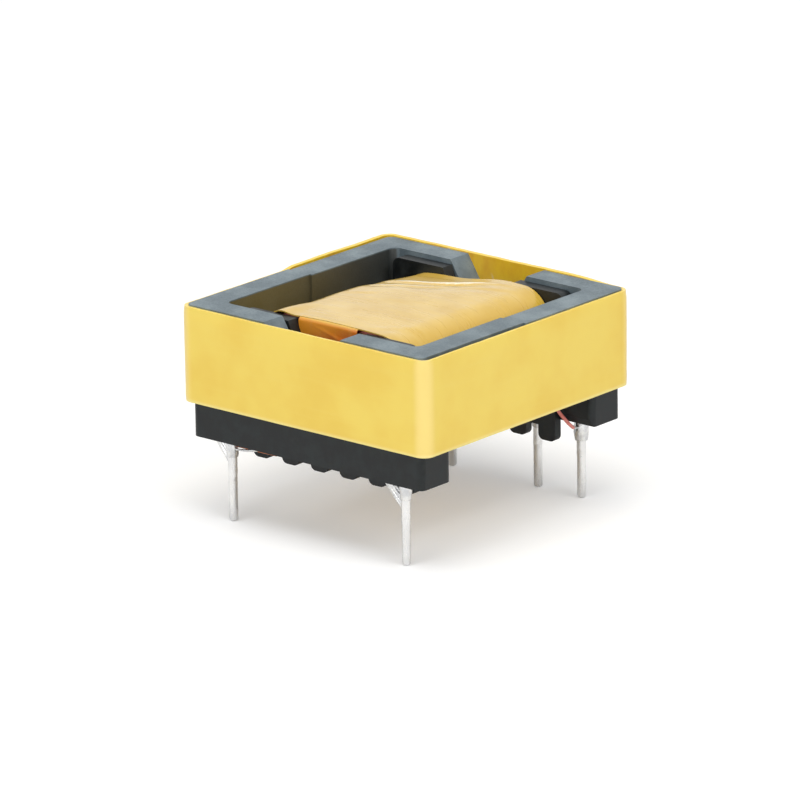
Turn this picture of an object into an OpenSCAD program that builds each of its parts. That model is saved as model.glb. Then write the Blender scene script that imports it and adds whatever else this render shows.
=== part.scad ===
// Low-profile through-hole transformer: two ferrite E halves around a wound bobbin.
// Millimetres. X runs along the pin rows, Y along the winding's axis, Z up.
// The origin is the centre of the pin pattern, on the plane where the standoffs meet the board.

/* [Ferrite core] */
// Width of one core half across its outer legs
core_w = 20.3; // [19:0.1:22]
// Length of the two butted halves together
core_l = 20.5; // [20:0.1:24]
// Height of the core
core_h = 6.65; // [6.3:0.05:8]
// Thickness of each outer leg
outer_leg_t = 1.9; // [1.2:0.05:2.2]
// Thickness of the yoke that joins the legs
yoke_t = 1.85; // [1.2:0.05:2.4]
// Width of the centre leg
centre_leg_w = 8.9; // [7.5:0.1:9.2]
// Thickness of the centre leg
centre_leg_t = 3.6; // [3:0.1:3.8]
// How far the centre leg lies below the middle of the core's height
centre_leg_drop = 0.4; // [0:0.05:0.45]
// Air gap between the two centre legs
air_gap = 0.3; // [0.05:0.05:1]
// How far the back half stands to the right of the front half
half_offset = 0.2; // [0:0.05:0.3]
// Width of the yoke's notch at the top
notch_w = 6.6; // [5.8:0.1:7.2]
// How far each side of the notch leans in by its floor
notch_lean = 1.2; // [0.4:0.1:1.5]
// Radius of the core's upright outer corners
core_corner_r = 0.5; // [0.2:0.1:1]
// Radius of the window's upright corners
window_corner_r = 0.5; // [0.2:0.1:1]

/* [Core tape] */
// Thickness of the tape wound round the core
core_tape_t = 0.35; // [0.1:0.05:0.4]
// How far the tape stands above the core
core_tape_rise = 0.05; // [0:0.05:0.2]

/* [Bobbin] */
// Clearance between the centre leg and the tube
leg_clearance = 0.1; // [0.05:0.01:0.15]
// Wall thickness of the winding tube
tube_wall = 0.55; // [0.4:0.05:0.7]
// Radius of the tube's outer corners
tube_corner_r = 1.2; // [0.8:0.1:1.4]
// Thickness of each flange
flange_t = 0.95; // [0.6:0.05:1.3]
// Width of each flange
flange_w = 14.8; // [13.4:0.1:15.2]
// How far the flange's top lies below the core's top
flange_drop = 0.3; // [0.1:0.05:0.8]
// Radius of the flange's top corners
flange_corner_r = 0.6; // [0.2:0.1:1]
// Width of the recess in the middle of the flange's top
recess_w = 6; // [5:0.1:7]
// Depth of that recess
recess_d = 1.3; // [0.8:0.1:1.5]
// How far each side of the recess leans in by its floor
recess_lean = 0.5; // [0:0.1:1]
// Clearance between the flange and the yoke
yoke_clearance = 0.1; // [0.05:0.01:0.2]

/* [Terminal rails] */
// Length of each rail
rail_w = 19.8; // [17.6:0.1:20.4]
// Depth of each rail, front to back
rail_d = 3; // [2.6:0.05:3.2]
// Height of each rail
rail_h = 2.35; // [1.8:0.05:2.8]
// Distance from the row of pins to the rail's outer face
rail_lip = 1.2; // [1:0.05:1.4]
// Radius of the rail's upright corners
rail_corner_r = 0.45; // [0.2:0.05:0.8]
// Width of the bevel on the rail's inner lower edge
rail_bevel_w = 0.25; // [0.1:0.05:0.5]
// Height of that bevel
rail_bevel_h = 0.5; // [0.2:0.05:1]
// Distance between neighbouring standoff posts
post_pitch = 2.5; // [2.2:0.1:2.6]
// Number of standoff posts on each rail
post_count = 6; // [4:2:6]
// Width of each post
post_w = 1.45; // [1:0.05:1.6]
// Thickness of each post
post_t = 0.6; // [0.5:0.05:0.8]
// Height of each post below the comb that carries it
post_h = 1; // [0.6:0.05:1.2]
// How far the posts reach in under the rail
post_overlap = 0.3; // [0:0.05:0.5]
// Radius of the post's lower corners
post_corner_r = 0.42; // [0.1:0.05:0.45]
// How far the comb reaches below the rail
comb_drop = 0.5; // [0.2:0.05:0.8]

/* [Pins] */
// Diameter of the pins
pin_d = 0.6; // [0.5:0.05:0.8]
// Distance between neighbouring pin positions
pin_pitch = 3.75; // [3.5:0.05:3.9]
// How far each row of pins lies in from that end of the core
pin_inset = 1.25; // [1:0.05:1.5]
// Length of the pins below the board seat
pin_reach = 4.25; // [3:0.05:6]
// Length of the pins inside the rail
pin_grip = 2; // [1:0.1:2.2]
// Length of the chamfer at the pin's tip
pin_tip = 0.12; // [0.05:0.01:0.3]
// Thickness of solder left on the dipped upper part of the pin
dip_t = 0.015; // [0.01:0.005:0.05]
// How far the dipped part reaches below the board seat
dip_reach = 1.15; // [1:0.05:1.5]
// Clearance between a pin and its hole
pin_clearance = 0.01; // [0.005:0.005:0.03]

/* [Windings] */
// Thickness of the primary winding
primary_t = 0.4; // [0.2:0.05:0.5]
// Thickness of the auxiliary winding
auxiliary_t = 0.15; // [0.1:0.01:0.3]
// Thickness of the secondary winding
secondary_t = 0.26; // [0.2:0.02:0.4]
// Thickness of each layer of winding tape
winding_tape_t = 0.08; // [0.05:0.01:0.12]
// How much the finished winding is crowned at its top and bottom
crown = 0.15; // [0.05:0.05:0.2]
// Clearance between one layer and the next
layer_clearance = 0.01; // [0.005:0.005:0.02]
// Clearance between the layers and the flanges
end_clearance = 0.05; // [0.02:0.01:0.1]
// Diameter of the enamelled leads
lead_d = 0.3; // [0.2:0.02:0.36]
// Diameter of the insulated secondary leads
insulated_lead_d = 0.3; // [0.26:0.02:0.4]

/* [Tape tail] */
// Width of the loose end of the winding tape
tail_w = 5; // [3:0.1:5.2]
// How far the tail lies to the left of the middle, as a negative number
tail_shift = -0.35; // [-0.35:0.05:0.35]
// How far each side of the tail leans in by its foot
tail_taper = 0.5; // [0.4:0.1:0.8]
// Radius of the fold where the tail turns down
tail_fold_r = 0.3; // [0.2:0.05:0.5]
// Thickness of the doubled tail
tail_t = 0.08; // [0.04:0.02:0.1]
// Length of tail that lies on the winding
tail_lap = 0.6; // [0.3:0.1:2]

/* [Hidden] */
$fn = 48;
eps = 0.01;

// Heights above the board
comb_z = post_h;
rail_z = comb_z + comb_drop;
core_z = rail_z + rail_h;
core_top = core_z + core_h;
leg_z = core_z + core_h / 2 - centre_leg_drop;
notch_d = core_top - leg_z - centre_leg_t / 2;
flange_top = core_top - flange_drop;

// Places along Y, counted from the middle
half_l = core_l / 2;
yoke_in = half_l - yoke_t;
flange_out = yoke_in - yoke_clearance;
flange_in = flange_out - flange_t;
tape_out = half_l + core_tape_t;
pin_y = core_l / 2 - pin_inset;
rail_out = pin_y + rail_lip;
rail_in = rail_out - rail_d;
comb_out = rail_in + post_overlap;
comb_in = comb_out - post_t;
end_pin_x = 2 * pin_pitch;

// Winding window and layers, each with the half width and half height of its outside
bore_w = centre_leg_w + half_offset + 2 * leg_clearance;
bore_t = centre_leg_t + 2 * leg_clearance;
layer_0 = tube_wall;
layer_1 = layer_0 + primary_t;
layer_2 = layer_1 + winding_tape_t;
layer_3 = layer_2 + auxiliary_t;
layer_4 = layer_3 + winding_tape_t;
layer_5 = layer_4 + secondary_t;
layer_6 = layer_5 + winding_tape_t;
winding_l = 2 * (flange_in - end_clearance);
winding_top = leg_z + bore_t / 2 + layer_6 + crown;
winding_bottom = leg_z - bore_t / 2 - layer_6 - crown;

// Leads: where each drops out of the winding, and the slot it goes through
primary_lead_x = 3.4;
auxiliary_outer_x = 3.6;
auxiliary_inner_x = 1.6;
secondary_lead_x = 1.6;
lead_start = 0.1;
lead_sag = 0.2;
lead_turn = 0.3;
drop_gap = 0.35;
drop_y = comb_in - drop_gap;
slot_x = 2 * post_pitch;
slot_z = comb_z / 2;
under_rail_z = rail_z - 0.35;
exit_w = 0.6;
exit_back = 0.35;
exit_l = flange_in - drop_y + exit_back;
side_exit_w = 2;
side_exit_h = 0.9;
lead_gap = 0.03;
lead_sides = 8;
lead_steps = 4;

// Solder: the collar round a pin, the lump on the last pin and the webs beside the front pins
solder_clearance = 0.015;
solder_top = rail_z - 0.3;
fillet_r = 0.42;
lump_r = 0.52;
lump_foot = -0.2;
front_foot = 0.2;
collar_lip = 0.06;
collar_shoulder = 0.25;
collar_foot_t = 0.02;
collar_foot_h = 0.2;
web_r = 0.11;
web_end_h = 0.35;
web_top = solder_top - 0.05;
web_foot = -dip_reach + 0.2;
left_web = [-1.4, 0.1];
right_web = [-2.1, 0.4];

// Gap between the tape tail's foot and the floor of the flange's recess
tail_foot_gap = 0.1;

// ---------------------------------------------------------------- shapes

// Rectangle with true round corners, centred
module round_rect(w, h, r) {
    square([w - 2 * r, h], center = true);
    square([w, h - 2 * r], center = true);
    for (x = [-1, 1], y = [-1, 1])
        translate([x * (w / 2 - r), y * (h / 2 - r)]) circle(r);
}

// Outline of the winding at distance t from the tube's bore, seen along Y
module layer_outline(t) {
    round_rect(bore_w + 2 * t, bore_t + 2 * t, tube_corner_r - tube_wall + t);
}

// The same with a crowned top and bottom
module crowned_outline(t) {
    flat = bore_w / 2 - tube_corner_r + tube_wall;
    bow_r = (flat * flat + crown * crown) / (2 * crown);
    layer_outline(t);
    for (s = [-1, 1])
        intersection() {
            translate([0, s * (bore_t / 2 + t + crown - bow_r)]) circle(bow_r, $fn = 240);
            translate([0, s * (bore_t / 2 + t)]) square([2 * flat, 2 * crown + eps], center = true);
        }
}

// Carries an outline drawn in X and Z along Y, centred on the centre leg
module along_winding(l) {
    translate([0, l / 2, leg_z]) rotate([90, 0, 0]) linear_extrude(l) children();
}

// Turns what is drawn at the back, at +Y, to the front
module front_and_back() {
    children();
    mirror([0, 1, 0]) children();
}

function unit(v) = v / norm(v);
function spline(a, b, c, d, t) =
    0.5 * (2 * b + (c - a) * t + (2 * a - 5 * b + 4 * c - d) * t * t
        + (3 * b - a - 3 * c + d) * t * t * t);

// Smooth line through the points of a route
function smooth(p) = [
    for (i = [0 : len(p) - 2], j = [0 : lead_steps - 1])
        spline(p[max(i - 1, 0)], p[i], p[i + 1], p[min(i + 2, len(p) - 1)], j / lead_steps),
    p[len(p) - 1]
];
function tangents(c) = [
    for (i = [0 : len(c) - 1]) unit(c[min(i + 1, len(c) - 1)] - c[max(i - 1, 0)])
];
function carried(t, u, i = 0, done = []) =
    i == len(t) ? done
    : let (v = unit(u - (u * t[i]) * t[i])) carried(t, v, i + 1, concat(done, [v]));

// Wire of diameter d along a route
module wire(route, d) {
    c = smooth(route);
    t = tangents(c);
    u = carried(t, [0.3, 1, 0.1]);
    n = lead_sides;
    rings = len(c);
    points = [
        for (i = [0 : rings - 1], k = [0 : n - 1])
            c[i] + d / 2 * (cos(360 * k / n) * u[i] + sin(360 * k / n) * cross(t[i], u[i]))
    ];
    sides = [
        for (i = [0 : rings - 2], k = [0 : n - 1])
            [i * n + k, (i + 1) * n + k, (i + 1) * n + (k + 1) % n, i * n + (k + 1) % n]
    ];
    start = [for (k = [0 : n - 1]) k];
    end = [for (k = [n - 1 : -1 : 0]) (rings - 1) * n + k];
    polyhedron(points, concat(sides, [start, end]), convexity = 4);
}

// ---------------------------------------------------------------- core

// One E half with its open side at Y = 0 and its yoke at -Y
module core_half() {
    difference() {
        translate([0, -half_l / 2, core_z])
            linear_extrude(core_h)
                difference() {
                    union() {
                        round_rect(core_w, half_l, core_corner_r);
                        translate([0, half_l / 4]) square([core_w, half_l / 2], center = true);
                    }
                    window_l = half_l - yoke_t;
                    translate([0, half_l / 2 - window_l / 2])
                        round_rect(core_w - 2 * outer_leg_t, window_l, window_corner_r);
                    translate([0, half_l / 2])
                        square([core_w - 2 * outer_leg_t, window_l], center = true);
                }
        translate([0, -yoke_in + window_corner_r, core_top - notch_d])
            rotate([90, 0, 0])
                linear_extrude(yoke_t + 2 * window_corner_r)
                    polygon([
                        [-notch_w / 2 + notch_lean, 0], [notch_w / 2 - notch_lean, 0],
                        [notch_w / 2, notch_d], [notch_w / 2, notch_d + 1],
                        [-notch_w / 2, notch_d + 1], [-notch_w / 2, notch_d]
                    ]);
    }
    translate([-centre_leg_w / 2, -yoke_in - eps, leg_z - centre_leg_t / 2])
        cube([centre_leg_w, yoke_in + eps - air_gap / 2, centre_leg_t]);
}

module core_half_front() {
    color([0.42, 0.46, 0.5]) translate([-half_offset / 2, 0, 0]) core_half();
}

module core_half_back() {
    color([0.42, 0.46, 0.5]) translate([half_offset / 2, 0, 0]) mirror([0, 1, 0]) core_half();
}

module core_tape() {
    inner_w = core_w + half_offset;
    color([0.95, 0.82, 0.36])
        translate([0, 0, core_z + core_tape_rise])
            linear_extrude(core_h)
                difference() {
                    round_rect(inner_w + 2 * core_tape_t, 2 * tape_out, core_corner_r + core_tape_t);
                    round_rect(inner_w, core_l, core_corner_r);
                }
}

// ---------------------------------------------------------------- bobbin

module flange() {
    flange_h = flange_top - rail_z;
    floor_w = recess_w - 2 * recess_lean;
    translate([0, flange_out, flange_top - flange_h / 2])
        rotate([90, 0, 0])
            linear_extrude(flange_t)
                difference() {
                    union() {
                        round_rect(flange_w, flange_h, flange_corner_r);
                        translate([0, -flange_h / 4])
                            square([flange_w, flange_h / 2], center = true);
                    }
                    translate([0, flange_h / 2 - recess_d])
                        polygon([
                            [-floor_w / 2, 0], [floor_w / 2, 0],
                            [recess_w / 2, recess_d], [recess_w / 2, recess_d + 1],
                            [-recess_w / 2, recess_d + 1], [-recess_w / 2, recess_d]
                        ]);
                }
}

module rail() {
    difference() {
        translate([0, rail_in + rail_d / 2, rail_z])
            linear_extrude(rail_h) round_rect(rail_w, rail_d, rail_corner_r);
        translate([-rail_w / 2 - 1, rail_in, rail_z])
            rotate([90, 0, 90])
                linear_extrude(rail_w + 2)
                    polygon([
                        [-1, -1], [rail_bevel_w, -1], [rail_bevel_w, 0],
                        [0, rail_bevel_h], [-1, rail_bevel_h]
                    ]);
    }
}

// Standoff post with rounded lower corners, its foot on the board
module post() {
    translate([0, comb_out, 0])
        rotate([90, 0, 0])
            linear_extrude(post_t) {
                translate([-post_w / 2, post_corner_r])
                    square([post_w, comb_z + eps - post_corner_r]);
                translate([-post_w / 2 + post_corner_r, 0])
                    square([post_w - 2 * post_corner_r, comb_z]);
                for (s = [-1, 1])
                    translate([s * (post_w / 2 - post_corner_r), post_corner_r])
                        circle(post_corner_r);
            }
}

// Wall under the flange that carries the posts
module comb() {
    comb_w = (post_count - 1) * post_pitch + post_w;
    comb_top = min(winding_bottom - 0.1, core_z);
    translate([-comb_w / 2, comb_in, comb_z])
        cube([comb_w, post_t, comb_top - comb_z]);
    translate([-comb_w / 2, comb_in, rail_z])
        cube([comb_w, flange_out - comb_in, comb_top - rail_z]);
    for (i = [0 : post_count - 1])
        translate([(i - (post_count - 1) / 2) * post_pitch, 0, 0]) post();
}

module pin_hole(x, y) {
    translate([x, y, rail_z - eps])
        cylinder(r = pin_d / 2 + dip_t + pin_clearance, h = pin_grip + pin_clearance + eps);
}

module bobbin() {
    color([0.15, 0.16, 0.17])
        difference() {
            union() {
                along_winding(2 * flange_in + 2 * eps) layer_outline(tube_wall);
                front_and_back() {
                    flange();
                    rail();
                    comb();
                }
            }
            along_winding(2 * flange_out + 1)
                round_rect(bore_w, bore_t, tube_corner_r - tube_wall);
            for (i = [-2 : 2], y = [-pin_y, pin_y])
                pin_hole(i * pin_pitch, y);
        }
}

// ---------------------------------------------------------------- pins

module pin(x, y) {
    color([0.86, 0.87, 0.88])
        translate([x, y, 0]) {
            translate([0, 0, -pin_reach])
                cylinder(r1 = pin_d / 2 - pin_tip, r2 = pin_d / 2, h = pin_tip);
            translate([0, 0, -pin_reach + pin_tip])
                cylinder(d = pin_d, h = pin_reach - pin_tip - dip_reach);
            translate([0, 0, -dip_reach])
                cylinder(r = pin_d / 2 + dip_t, h = dip_reach + rail_z + pin_grip);
        }
}

module pin_front_left() { pin(-end_pin_x, -pin_y); }
module pin_front_right() { pin(end_pin_x, -pin_y); }
module pin_back_1() { pin(-end_pin_x, pin_y); }
module pin_back_2() { pin(-pin_pitch, pin_y); }
module pin_back_3() { pin(pin_pitch, pin_y); }
module pin_back_4() { pin(end_pin_x, pin_y); }

// ---------------------------------------------------------------- leads

// Route from a winding's underside through a slot between posts to a pin at the back.
// top is the height where it leaves its layer.
function slot_route(drop_x, slot, pin_x, top) = let (
    to_pin = unit([pin_x - slot, pin_y - comb_out - lead_turn]),
    gap = fillet_r + lead_gap
) [
    [drop_x, drop_y, top],
    [drop_x, drop_y, winding_bottom - lead_start],
    [(drop_x + 2 * slot) / 3, drop_y, (winding_bottom + slot_z) / 2 - lead_sag],
    [slot, (comb_in + comb_out) / 2, slot_z],
    [slot + lead_turn * to_pin[0], comb_out + lead_turn, slot_z + lead_start],
    [pin_x - gap * to_pin[0], pin_y - gap * to_pin[1], under_rail_z - lead_start]
];
function to_front(route) = [for (p = route) [p[0], -p[1], p[2]]];

// Height of the underside of the layer whose outside is at t
function underside(t) = leg_z - bore_t / 2 - t;

primary_top = underside(layer_1) + lead_start;
auxiliary_top = underside(layer_3) + lead_start / 2;
secondary_top = underside(layer_5) + lead_start;
primary_routes = [
    to_front(slot_route(-primary_lead_x, -slot_x, -end_pin_x, primary_top)),
    to_front(slot_route(primary_lead_x, slot_x, end_pin_x, primary_top))
];
auxiliary_routes = [
    slot_route(-auxiliary_outer_x, -slot_x, -end_pin_x, auxiliary_top),
    slot_route(-auxiliary_inner_x, -slot_x / 2, -pin_pitch, auxiliary_top)
];
// The second one leaves at the side, passes outside the rail's inner edge and rises to its pin
secondary_routes = [
    slot_route(secondary_lead_x, slot_x / 2, pin_pitch, secondary_top),
    [
        [bore_w / 2 + layer_5 - 0.7, drop_y, leg_z - bore_t / 2 - 0.3],
        [bore_w / 2 + layer_6 + 0.2, drop_y, leg_z - bore_t / 2 - 0.6],
        [end_pin_x - 0.5, drop_y + 0.1, rail_z + 1.7],
        [end_pin_x - 0.15, comb_in - 0.1, rail_z + 0.8],
        [end_pin_x + 0.5, rail_in - 0.2, rail_z + 0.05],
        [end_pin_x + 0.55, rail_in + 0.3, rail_z - 0.4],
        [end_pin_x + 0.15, pin_y - lump_r - lead_gap, rail_z - 0.7]
    ]
];

// Room that the outer layers leave at their ends for the leads of the layers inside
module lead_exits(xs, side) {
    for (x = xs)
        translate([x - exit_w / 2, side > 0 ? drop_y - exit_back : -flange_in, winding_bottom - 1])
            cube([exit_w, exit_l, leg_z - winding_bottom]);
}

module primary_exits() { lead_exits([-primary_lead_x, primary_lead_x], -1); }
module auxiliary_exits() { lead_exits([-auxiliary_outer_x, -auxiliary_inner_x], 1); }

// ---------------------------------------------------------------- windings

// Layer between two distances from the bore
module layer(t_in, t_out) {
    along_winding(winding_l)
        difference() {
            layer_outline(t_out - layer_clearance);
            layer_outline(t_in);
        }
}

module primary_winding() {
    color([0.72, 0.38, 0.18]) {
        layer(layer_0 + layer_clearance, layer_1);
        for (r = primary_routes) wire(r, lead_d);
    }
}

module primary_tape() {
    color([0.93, 0.8, 0.4])
        difference() {
            layer(layer_1, layer_2);
            primary_exits();
        }
}

module auxiliary_winding() {
    color([0.76, 0.42, 0.2]) {
        difference() {
            layer(layer_2, layer_3);
            primary_exits();
        }
        for (r = auxiliary_routes) wire(r, lead_d);
    }
}

module auxiliary_tape() {
    color([0.93, 0.8, 0.4])
        difference() {
            layer(layer_3, layer_4);
            primary_exits();
            auxiliary_exits();
        }
}

module secondary_winding() {
    color([0.92, 0.58, 0.54]) {
        difference() {
            along_winding(winding_l)
                difference() {
                    crowned_outline(layer_5 - layer_clearance);
                    layer_outline(layer_4);
                }
            primary_exits();
            auxiliary_exits();
        }
        for (r = secondary_routes) wire(r, insulated_lead_d);
    }
}

module outer_winding_tape() {
    color([0.93, 0.78, 0.42])
        difference() {
            along_winding(winding_l)
                difference() {
                    crowned_outline(layer_6);
                    crowned_outline(layer_5);
                }
            primary_exits();
            auxiliary_exits();
            lead_exits([secondary_lead_x], 1);
            translate([bore_w / 2 + layer_5 - 1, drop_y - exit_back, leg_z - bore_t / 2 - 1])
                cube([side_exit_w, exit_l, side_exit_h]);
        }
}

// Band of even thickness along a line drawn in Y and Z, for polygon()
function side_of(p, i, d) = let (
    t = unit(p[min(i + 1, len(p) - 1)] - p[max(i - 1, 0)])
) p[i] + d * [-t[1], t[0]];
function band(p, t) = concat(
    [for (i = [0 : len(p) - 1]) side_of(p, i, t / 2)],
    [for (i = [len(p) - 1 : -1 : 0]) side_of(p, i, -t / 2)]
);

module tape_tail() {
    over = winding_top + tail_t / 2 + layer_clearance;
    hang_y = -winding_l / 2 - tail_t / 2 - layer_clearance - tail_fold_r / 4;
    foot_z = flange_top - recess_d + tail_foot_gap;
    fold_z = over - tail_fold_r;
    line = concat(
        [[hang_y + tail_fold_r + tail_lap, over]],
        [for (a = [90 : 15 : 180])
            [hang_y + tail_fold_r + tail_fold_r * cos(a), fold_z + tail_fold_r * sin(a)]],
        [[hang_y, foot_z]]
    );
    half = tail_w / 2;
    color([0.8, 0.5, 0.2])
        intersection() {
            translate([-recess_w, 0, 0])
                rotate([90, 0, 90]) linear_extrude(2 * recess_w) polygon(band(line, tail_t));
            translate([tail_shift, 0, foot_z])
                rotate([90, 0, 0])
                    linear_extrude(2 * half_l, center = true)
                        polygon([
                            [-half + tail_taper, -tail_t], [half - tail_taper, -tail_t],
                            [half, fold_z - foot_z], [half, fold_z - foot_z + 1],
                            [-half, fold_z - foot_z + 1], [-half, fold_z - foot_z]
                        ]);
        }
}

// ---------------------------------------------------------------- solder

// Solder round a pin, from just under the rail down to its foot
module collar(bulge, foot) {
    inner = pin_d / 2 + dip_t + solder_clearance;
    rotate_extrude()
        polygon([
            [inner, solder_top], [inner + collar_lip, solder_top],
            [bulge, solder_top - collar_shoulder], [bulge, (solder_top + foot) / 2],
            [inner + collar_lip, foot + collar_foot_h], [inner + collar_foot_t, foot],
            [inner, foot]
        ]);
}

// Web of solder that fills the fan of strands beside a pin, from the pin to a point beside it
module web(to) {
    difference() {
        hull() {
            translate([0, 0, web_foot]) cylinder(r = web_r, h = web_top - web_foot, $fn = 32);
            translate([to[0], to[1], web_top - web_end_h])
                cylinder(r = web_r, h = web_end_h, $fn = 32);
        }
        cylinder(r = pin_d / 2 + dip_t + solder_clearance, h = 4 * rail_z, center = true);
    }
}

module solder(x, y, bulge, foot) {
    color([0.8, 0.81, 0.82]) translate([x, y, 0]) {
        collar(bulge, foot);
        children();
    }
}

module solder_front_left() {
    solder(-end_pin_x, -pin_y, fillet_r, front_foot) web(left_web);
}
module solder_front_right() {
    solder(end_pin_x, -pin_y, fillet_r, front_foot) web(right_web);
}
module solder_back_1() { solder(-end_pin_x, pin_y, fillet_r, 0); }
module solder_back_2() { solder(-pin_pitch, pin_y, fillet_r, 0); }
module solder_back_3() { solder(pin_pitch, pin_y, fillet_r, 0); }
module solder_back_4() { solder(end_pin_x, pin_y, lump_r, lump_foot); }

core_half_front();
core_half_back();
core_tape();
bobbin();
pin_front_left();
pin_front_right();
pin_back_1();
pin_back_2();
pin_back_3();
pin_back_4();
primary_winding();
primary_tape();
auxiliary_winding();
auxiliary_tape();
secondary_winding();
outer_winding_tape();
tape_tail();
solder_front_left();
solder_front_right();
solder_back_1();
solder_back_2();
solder_back_3();
solder_back_4();
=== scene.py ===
import math

import bpy
import numpy as np
from mathutils import Matrix, Vector, noise


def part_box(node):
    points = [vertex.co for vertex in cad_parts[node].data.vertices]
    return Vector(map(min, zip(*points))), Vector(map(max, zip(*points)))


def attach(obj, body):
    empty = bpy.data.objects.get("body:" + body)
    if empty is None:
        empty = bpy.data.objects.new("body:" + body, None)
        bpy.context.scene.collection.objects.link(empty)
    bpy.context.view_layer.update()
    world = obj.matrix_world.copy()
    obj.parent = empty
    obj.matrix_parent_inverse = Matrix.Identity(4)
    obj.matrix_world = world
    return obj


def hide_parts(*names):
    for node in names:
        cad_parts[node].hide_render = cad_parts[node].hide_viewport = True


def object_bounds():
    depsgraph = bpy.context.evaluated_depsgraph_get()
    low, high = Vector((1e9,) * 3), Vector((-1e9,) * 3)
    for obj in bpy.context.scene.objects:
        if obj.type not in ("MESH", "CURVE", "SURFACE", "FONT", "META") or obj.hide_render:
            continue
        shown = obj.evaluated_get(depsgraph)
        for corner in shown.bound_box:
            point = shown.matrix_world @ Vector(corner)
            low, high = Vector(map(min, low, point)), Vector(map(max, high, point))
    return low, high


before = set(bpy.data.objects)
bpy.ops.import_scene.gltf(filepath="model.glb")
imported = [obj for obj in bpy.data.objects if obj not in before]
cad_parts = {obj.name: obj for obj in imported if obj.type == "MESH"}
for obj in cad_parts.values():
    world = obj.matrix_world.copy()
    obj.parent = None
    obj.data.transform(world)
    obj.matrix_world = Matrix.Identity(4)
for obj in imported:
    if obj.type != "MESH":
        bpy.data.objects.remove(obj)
cad_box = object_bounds()

MM = 0.001


# ---------------------------------------------------------------- places, in millimetres

def box_mm(node):
    lo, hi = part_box(node)
    return np.array(lo) / MM, np.array(hi) / MM


def axis_of(node):
    """X and Y of an upright pin's axis."""
    lo, hi = box_mm(node)
    return (lo[0] + hi[0]) / 2, (lo[1] + hi[1]) / 2


# The core and its tape
TAPE_T = 0.35
OUTER_LEG_T = 1.9
YOKE_T = 1.85
tape_lo, tape_hi = box_mm("core_tape")
core_top = box_mm("core_half_front")[1][2]
leg_in = tape_hi[0] - TAPE_T - OUTER_LEG_T
yoke_in = tape_hi[1] - TAPE_T - YOKE_T

# The windings: PILE is the height of all their layers over the bore of the bobbin's tube, and TUBE the
# part of it that is the tube's wall. CROWN is how much higher they stand at the middle of their width.
PILE = 1.6
TUBE = 0.55
CROWN = 0.15
SHOULDER_R = 2.25
wind_lo, wind_hi = box_mm("outer_winding_tape")
tail_lo, tail_hi = box_mm("tape_tail")
leg_z = (wind_lo[2] + wind_hi[2]) / 2

# The pins, with the front row at -pin_y and the back row at pin_y
pin_x, pin_y = axis_of("pin_back_4")
pitch = axis_of("pin_back_3")[0]

# The bobbin's comb of posts and its rails, and the slots that the leads pass through
COMB_IN, COMB_OUT = 6.9, 7.5
RAIL_IN, RAIL_Z = 7.2, 1.5
SLOT_X, SLOT_Z = 5.0, 0.5


def smoothstep(a, b, v):
    t = min(max((v - a) / (b - a), 0.0), 1.0)
    return t * t * (3 - 2 * t)


def bell(v):
    return math.exp(-v * v)


# ---------------------------------------------------------------- mesh helpers

def bare_object(name, points, faces):
    mesh = bpy.data.meshes.new(name)
    mesh.from_pydata([Vector(p) * MM for p in points], [], faces)
    mesh.validate()
    mesh.update()
    piece = bpy.data.objects.new(name, mesh)
    bpy.context.scene.collection.objects.link(piece)
    return piece


def finish_piece(piece, material, replaced, sharp):
    """Give a piece its look and its body, and hide the nodes that it stands for."""
    piece.data.materials.clear()
    piece.data.materials.append(material)
    piece.data.shade_smooth()
    piece.data.set_sharp_from_angle(angle=math.radians(sharp))
    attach(piece, "root")
    if replaced:
        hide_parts(*replaced)


def new_piece(name, points, faces, material, slot_name, replaced, sharp):
    piece = bare_object(name, points, faces)
    finish_piece(piece, material, replaced, sharp)
    return piece


def grid_faces(rows, cols, wrap_rows=False, wrap_cols=True):
    """Faces between points that lie in rows, each row cols long."""
    faces = []
    for i in range(rows if wrap_rows else rows - 1):
        for j in range(cols if wrap_cols else cols - 1):
            a, b = i * cols + j, i * cols + (j + 1) % cols
            c = ((i + 1) % rows) * cols + (j + 1) % cols
            d = ((i + 1) % rows) * cols + j
            faces.append([a, b, c, d])
    return faces


def rod_faces(rings, sides):
    """Faces of a closed rod: the wall between its rings, and a cap at each end."""
    last = (rings - 1) * sides
    return grid_faces(rings, sides) + [list(range(sides))[::-1], [last + k for k in range(sides)]]


def lathe(cx, cy, profile, sides, bumps):
    """Closed turned body. profile is (radius, z) from bottom to top; bumps(angle, z) adds to the radius."""
    points = []
    for r, z in profile:
        for k in range(sides):
            a = 2 * math.pi * k / sides
            rr = r + bumps(a, z)
            points.append((cx + rr * math.cos(a), cy + rr * math.sin(a), z))
    return points, rod_faces(len(profile), sides)


def spline(a, b, c, d, t):
    """Catmull-Rom curve from b to c."""
    return 0.5 * (2 * b + (c - a) * t + (2 * a - 5 * b + 4 * c - d) * t * t
                  + (3 * b - a - 3 * c + d) * t ** 3)


def smooth_route(route, steps):
    """A route's points with steps short stretches between each two."""
    p = [Vector(q) for q in route]
    line = []
    for i in range(len(p) - 1):
        for j in range(steps):
            line.append(spline(p[max(i - 1, 0)], p[i], p[i + 1], p[min(i + 2, len(p) - 1)], j / steps))
    line.append(p[-1])
    return line


def tube(route, radius, sides=14, steps=10, taper=None):
    """Round wire along a route; taper(f) scales its radius at the fraction f of its length."""
    line = smooth_route(route, steps)
    points = []
    up = Vector((0.3, 1, 0.1))
    for i, c in enumerate(line):
        along = (line[min(i + 1, len(line) - 1)] - line[max(i - 1, 0)]).normalized()
        up = (up - along * up.dot(along)).normalized()
        side = along.cross(up)
        r = radius * (taper(i / (len(line) - 1)) if taper else 1)
        for k in range(sides):
            a = 2 * math.pi * k / sides
            points.append(c + r * (math.cos(a) * up + math.sin(a) * side))
    return points, rod_faces(len(line), sides)


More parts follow.
